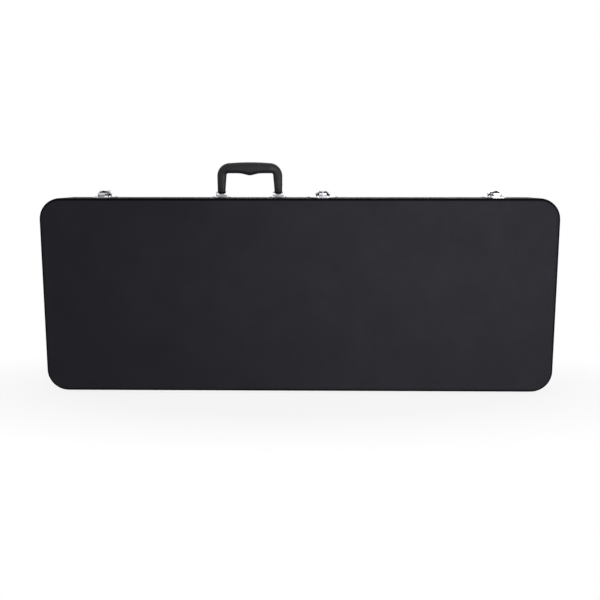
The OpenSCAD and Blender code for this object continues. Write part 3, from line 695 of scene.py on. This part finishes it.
def pull_tab():
    """Folded woven tape with a box of stitches where it is sewn down."""
    lo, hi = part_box("pocket_lid_tab")
    cx, wx = (lo[0] + hi[0]) / 2, (hi[0] - lo[0]) / 2
    thick = hi[1] - lo[1]
    bm = bmesh.new()
    rows = []
    steps, lift = 26, 1.5 * MM
    for j in range(steps + 1):
        t = j / steps
        z = lo[2] + (hi[2] - lo[2]) * t
        curl = -lift * max(0.0, (t - 0.45) / 0.55) ** 2 - 0.9 * MM
        rows.append([(x, thick / 2, z, curl) for x in (-1, 1)])
    rings = []
    for j, row in enumerate(rows):
        z, curl = row[0][2], row[0][3]
        end = min(1.0, (steps - j) / 2.0)
        half = wx * (1 - 0.06 * (1 - end))
        t = thick / 2 * (0.75 + 0.25 * end)
        ring = []
        for k in range(16):
            a = 2 * math.pi * k / 16
            c, s = math.cos(a), math.sin(a)
            ring.append(bm.verts.new((cx + math.copysign(abs(c) ** 0.25, c) * half,
                                      (lo[1] + hi[1]) / 2 + curl + math.copysign(abs(s) ** 0.5, s) * t, z)))
        rings.append(ring)
    for a, b in zip(rings, rings[1:]):
        for k in range(16):
            bm.faces.new((a[k], a[(k + 1) % 16], b[(k + 1) % 16], b[k]))
    bm.faces.new(rings[0])
    bm.faces.new(rings[-1])
    tab = new_object("pull_tab", bm, WEBBING)
    y = lo[1] - 1.0 * MM
    z0, z1 = lo[2] + 2 * MM, lo[2] + 11 * MM
    x0, x1 = cx - wx + 3 * MM, cx + wx - 3 * MM
    box = [(x0, z0), (x1, z0), (x1, z1), (x0, z1)]
    spots = [((x, y, z), (dx, 0, dz), (0, -1, 0)) for (x, z), (dx, dz) in along_loop(box, 2.6 * MM)]
    for sign in (-1, 1):
        for k in range(6):
            t = (k + 0.5) / 6
            spots.append(((lerp(x0, x1, t), y, lerp(z0, z1, t if sign > 0 else 1 - t)), (x1 - x0, 0, sign * (z1 - z0)),
                          (0, -1, 0)))
    threads = stitches("pull_tab_stitching", spots, THREAD, 1.9 * MM, 0.26 * MM)
    threads.parent = tab
    return tab


settle(pull_tab(), "pocket_lid_tab", "pocket_flap")


# ---------- handle ----------
def handle_mesh():
    """The moulded handle: sections lofted from one foot, over the grip, to the other."""
    lo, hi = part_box("handle_grip")
    cx, cy = (lo[0] + hi[0]) / 2, (lo[1] + hi[1]) / 2
    half = (hi[0] - lo[0]) / 2 / MM
    top = (hi[2] - TOP_Z) / MM
    foot_w, foot_low = 16.8, (lo[2] - TOP_Z) / MM
    grip_low, crown, corner = top - 23.0, 1.6, 27.0
    widen, inner_r = 2.5, 3.4
    leg_t, grip_t = 6.0, (hi[1] - lo[1]) / 2 / MM
    stations = []

    def under(x):
        return grip_low - 4.2 * math.exp(-(x / 13.2) ** 2)

    # half of the stations, from the left foot to the middle: outer point, inner point, half thickness
    leg_top = top - crown - corner
    inner_x = -half + foot_w + widen
    inner_top = grip_low - inner_r
    for k in range(15):
        t = k / 14
        z_out = lerp(foot_low + 5, leg_top, t)
        z_in = lerp(foot_low + 5, inner_top - 3.0, t)
        stations.append(((-half + 0.5 * (1 - t) ** 2, z_out), (-half + foot_w + widen * t ** 1.3, z_in),
                         lerp(4.9, leg_t, min(1, t * 4)) + 1.6 * t * t))
    for k in range(1, 17):
        t = k / 16
        a = math.radians(180 - 90 * t)
        out = (-half + corner + corner * math.cos(a), leg_top + corner * math.sin(a))
        inner = (inner_x + inner_r + inner_r * math.cos(a), inner_top + inner_r * math.sin(a))
        if t < 0.3:
            mix = t / 0.3
            inner = (lerp(inner_x, inner[0], mix), lerp(inner_top - 3.0, inner[1], mix))
        stations.append((out, inner, lerp(leg_t + 1.6, grip_t * 0.95, t ** 1.3)))
    last_x = stations[-1][1][0]
    for k in range(1, 29):
        t = k / 28
        x_out = lerp(-half + corner, 0, t)
        x_in = lerp(last_x, 0, t)
        z_out = top - crown * (x_out / (half - corner)) ** 2
        stations.append(((x_out, z_out), (x_in, under(x_in)), lerp(grip_t * 0.95, grip_t, math.sin(math.pi / 2 * t))))
    mirrored = [((-o[0], o[1]), (-i[0], i[1]), w) for o, i, w in reversed(stations[:-1])]
    stations += mirrored

    bm = bmesh.new()
    around = 40
    rings = []

    def section(o, i, w, shrink=1.0, drop=0.0):
        mid = Vector(((o[0] + i[0]) / 2, 0, (o[1] + i[1]) / 2 + drop))
        arm = Vector(((o[0] - i[0]) / 2, 0, (o[1] - i[1]) / 2)) * shrink
        ring = []
        for k in range(around):
            a = 2 * math.pi * k / around
            c, s = math.cos(a), math.sin(a)
            power = 0.72
            u = math.copysign(abs(c) ** power, c)
            v = math.copysign(abs(s) ** power, s)
            p = mid + arm * u + Vector((0, v * w * shrink, 0))
            ring.append(bm.verts.new(((cx + p.x * MM), cy + p.y * MM, TOP_Z + p.z * MM)))
        return ring

    def foot_rings(station):
        o, i, w = station
        steps = 6
        result = []
        for k in range(steps, 0, -1):
            a = math.radians(90 * k / steps)
            result.append(section(o, i, w, max(0.05, math.cos(a)) ** 0.55, -5.0 * math.sin(a)))
        return result

    rings += foot_rings(stations[0])
    rings += [section(*station) for station in stations]
    rings += list(reversed(foot_rings(stations[-1])))
    last = len(rings) - 1
    for band, (a, b) in enumerate(zip(rings, rings[1:])):
        for k in range(around):
            face = bm.faces.new((a[k], a[(k + 1) % around], b[(k + 1) % around], b[k]))
            face.material_index = 1 if band < 6 or band >= last - 6 else 0
    for ring in (rings[0], rings[-1]):
        bm.faces.new(ring).material_index = 1
    moulding = new_object("handle_moulding", bm, HANDLE)
    moulding.data.materials.append(HANDLE_END)
    return moulding


handle = handle_mesh()
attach(handle, "handle")
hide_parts("handle_grip", "handle_core")


# ---------- floor, world, lamps, camera ----------
def stage_floor():
    """A pale floor that is nearly white to the camera, with a faint shadow close to the case."""
    bm = bmesh.new()
    size = 14.0
    corners = [bm.verts.new((x * size, y * size, 0)) for x, y in ((-1, -1), (1, -1), (1, 1), (-1, 1))]
    bm.faces.new(corners)
    mat = bpy.data.materials.new("floor")
    mat.use_nodes = True
    nodes, links = mat.node_tree.nodes, mat.node_tree.links
    nodes.clear()
    out = nodes.new("ShaderNodeOutputMaterial")
    path = nodes.new("ShaderNodeLightPath")
    diffuse = nodes.new("ShaderNodeBsdfDiffuse")
    diffuse.inputs["Color"].default_value = (0.86, 0.86, 0.86, 1)
    clear = nodes.new("ShaderNodeBsdfTransparent")
    coord = nodes.new("ShaderNodeTexCoord")
    squeeze = nodes.new("ShaderNodeMapping")
    squeeze.inputs["Scale"].default_value = (1.0, 2.2, 1.0)
    links.new(coord.outputs["Object"], squeeze.inputs["Vector"])
    far = nodes.new("ShaderNodeVectorMath")
    far.operation = "LENGTH"
    links.new(squeeze.outputs["Vector"], far.inputs[0])
    fade = nodes.new("ShaderNodeMapRange")
    for key, number in (("From Min", 0.45), ("From Max", 0.9), ("To Min", 0.86), ("To Max", 1.0)):
        fade.inputs[key].default_value = number
    links.new(far.outputs["Value"], fade.inputs["Value"])
    looked = nodes.new("ShaderNodeMath")
    looked.operation = "MAXIMUM"
    links.new(path.outputs["Is Camera Ray"], looked.inputs[0])
    links.new(path.outputs["Is Glossy Ray"], looked.inputs[1])
    seen = nodes.new("ShaderNodeMath")
    seen.operation = "MULTIPLY"
    links.new(looked.outputs[0], seen.inputs[0])
    links.new(fade.outputs["Result"], seen.inputs[1])
    most = nodes.new("ShaderNodeMath")
    most.operation = "MAXIMUM"
    links.new(seen.outputs[0], most.inputs[0])
    links.new(path.outputs["Is Shadow Ray"], most.inputs[1])
    mix = nodes.new("ShaderNodeMixShader")
    links.new(most.outputs[0], mix.inputs[0])
    links.new(diffuse.outputs[0], mix.inputs[1])
    links.new(clear.outputs[0], mix.inputs[2])
    links.new(mix.outputs[0], out.inputs["Surface"])
    floor = new_object("floor", bm, mat, smooth=False)


def studio_world():
    """A white surround to the camera and in reflections, and a low even light on everything else."""
    world = bpy.data.worlds.new("studio")
    bpy.context.scene.world = world
    world.use_nodes = True
    nodes, links = world.node_tree.nodes, world.node_tree.links
    background = nodes["Background"]
    background.inputs["Color"].default_value = (1, 1, 1, 1)
    path = nodes.new("ShaderNodeLightPath")
    looked = nodes.new("ShaderNodeMath")
    looked.operation = "MAXIMUM"
    links.new(path.outputs["Is Camera Ray"], looked.inputs[0])
    links.new(path.outputs["Is Glossy Ray"], looked.inputs[1])
    strength = nodes.new("ShaderNodeMapRange")
    strength.inputs["To Min"].default_value = 0.17
    strength.inputs["To Max"].default_value = 1.0
    links.new(looked.outputs[0], strength.inputs["Value"])
    links.new(strength.outputs["Result"], background.inputs["Strength"])


def area_lamp(name, place, target, size, energy):
    data = bpy.data.lights.new(name, "AREA")
    data.shape = "RECTANGLE"
    data.size, data.size_y = size
    data.energy = energy
    lamp = bpy.data.objects.new(name, data)
    lamp.location = place
    lamp.rotation_euler = (Vector(target) - Vector(place)).to_track_quat("-Z", "Y").to_euler()
    lamp.visible_camera = False
    bpy.context.scene.collection.objects.link(lamp)


def photo_camera():
    data = bpy.data.cameras.new("camera")
    data.sensor_width = 36.0
    data.lens = 45.96
    camera = bpy.data.objects.new("camera", data)
    camera.location = (0.0266, FACE_Y - 1.5439, SPINE_Z + 0.4376)
    camera.rotation_euler = (math.radians(90 - 9.0), 0, math.radians(0.88))
    bpy.context.scene.collection.objects.link(camera)
    bpy.context.scene.camera = camera


photo_camera()
stage_floor()
studio_world()
area_lamp("key", (0.46, -1.15, 0.34), (0.34, 0, 0.2), (0.7, 0.5), 9)
area_lamp("back", (0.4, 2.4, 0.9), (0, 0, 0.2), (2.0, 1.2), 10)
area_lamp("top", (0.0, -0.3, 2.4), (0, 0, 0.3), (2.4, 0.8), 8)
bpy.context.scene.view_settings.view_transform = "Standard"
